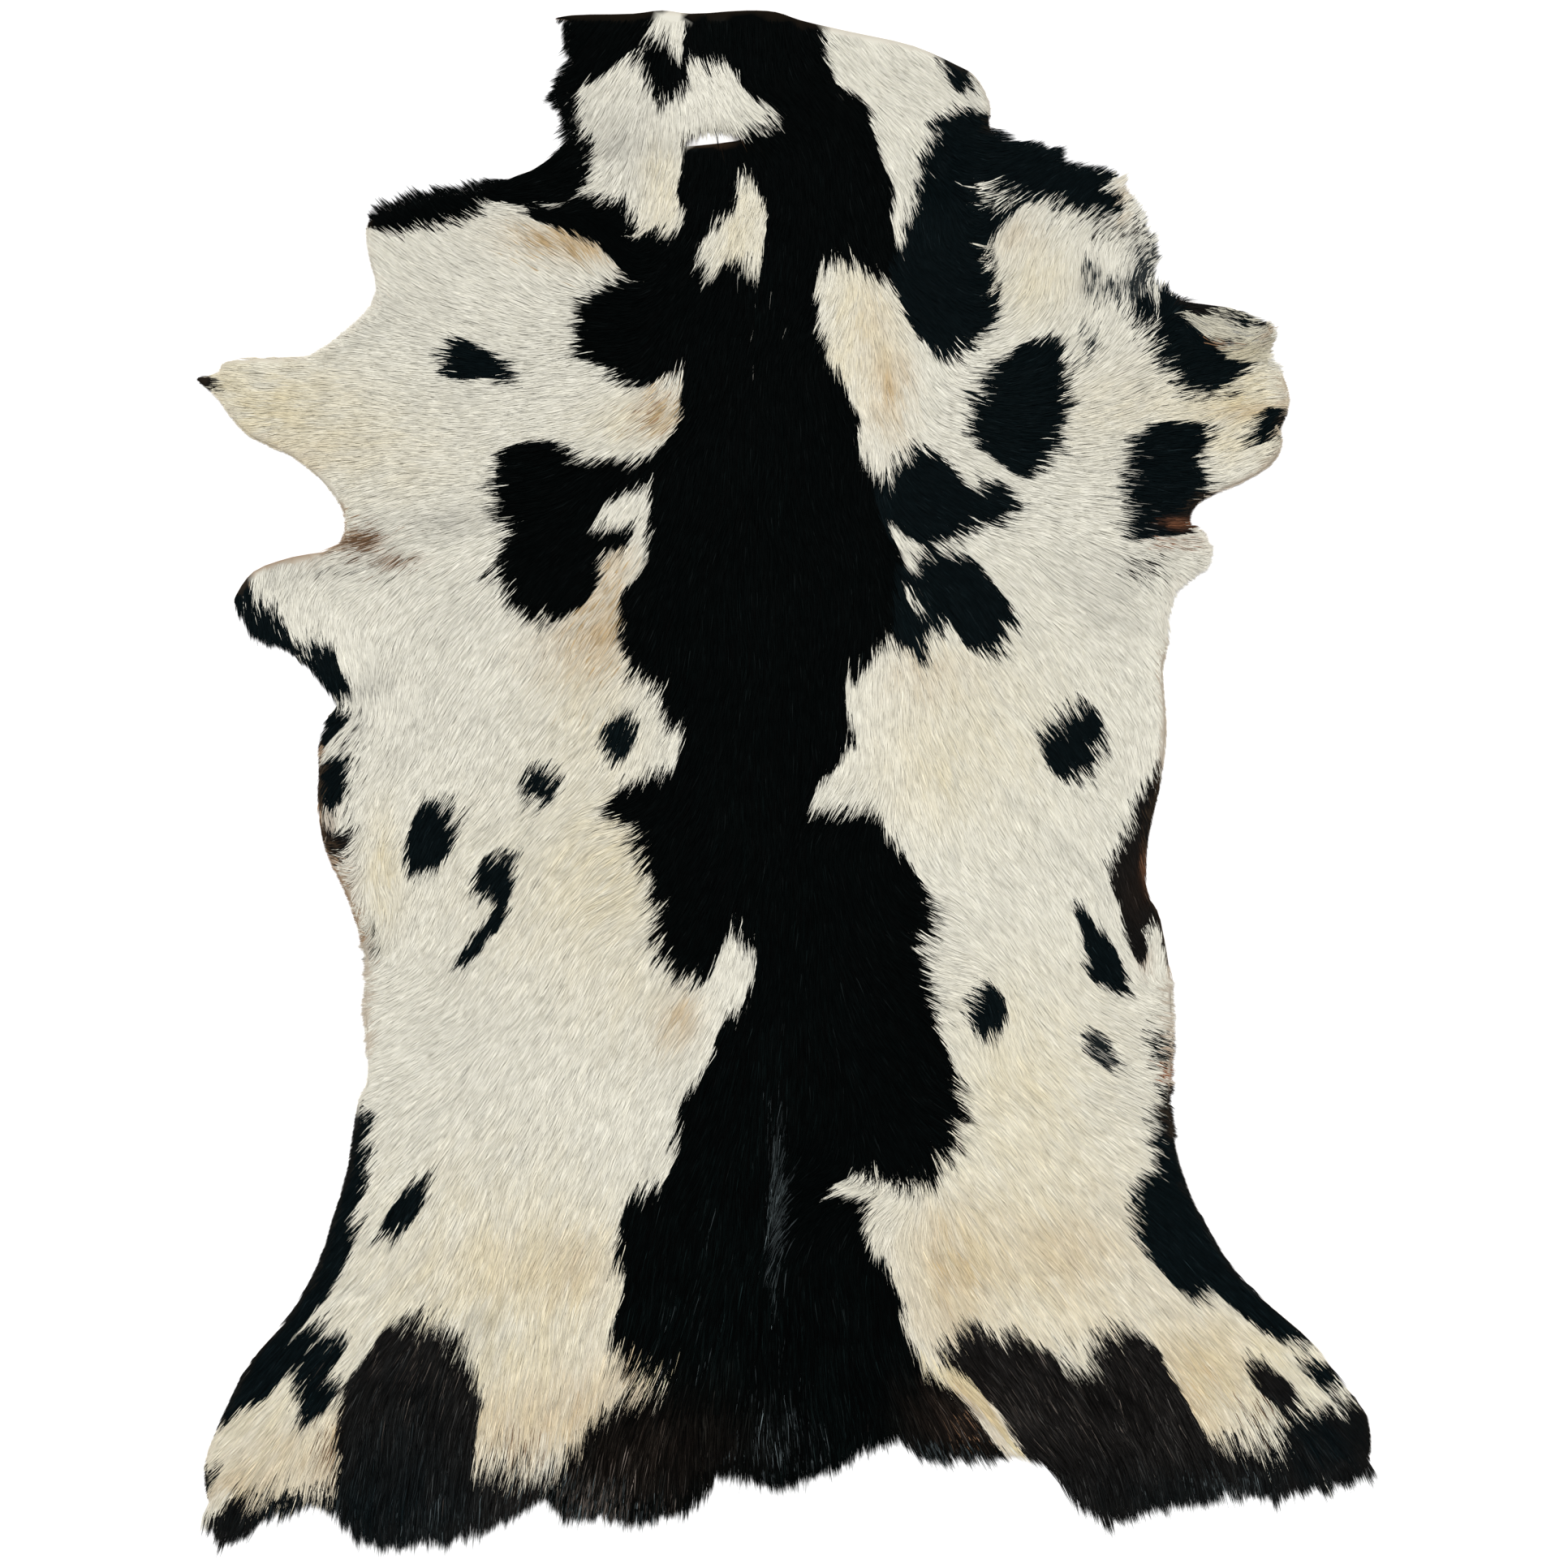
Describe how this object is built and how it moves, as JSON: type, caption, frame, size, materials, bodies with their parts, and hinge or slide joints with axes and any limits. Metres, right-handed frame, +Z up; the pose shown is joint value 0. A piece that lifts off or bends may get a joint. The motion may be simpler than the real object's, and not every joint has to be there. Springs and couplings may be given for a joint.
{
  "type": "goatskin rug",
  "caption": "Whole goatskin with its coat on, lying flat hair side up, with a lumpy slab for skin and hair and pointed locks at its rim.",
  "frame": {"origin": "on the floor, under the middle of the skin", "axes": "+Y from the rump to the neck along the spine, +X to the right of the hide seen from above with the neck up, +Z up out of the coat"},
  "size_m": [0.7228, 0.9554, 0.0136],
  "materials": {
    "goatskin": "short glossy hair over soft tanned skin, matt to satin"
  },
  "bodies": {
    "root": {"goatskin": "goatskin"}
  },
  "joints": []
}
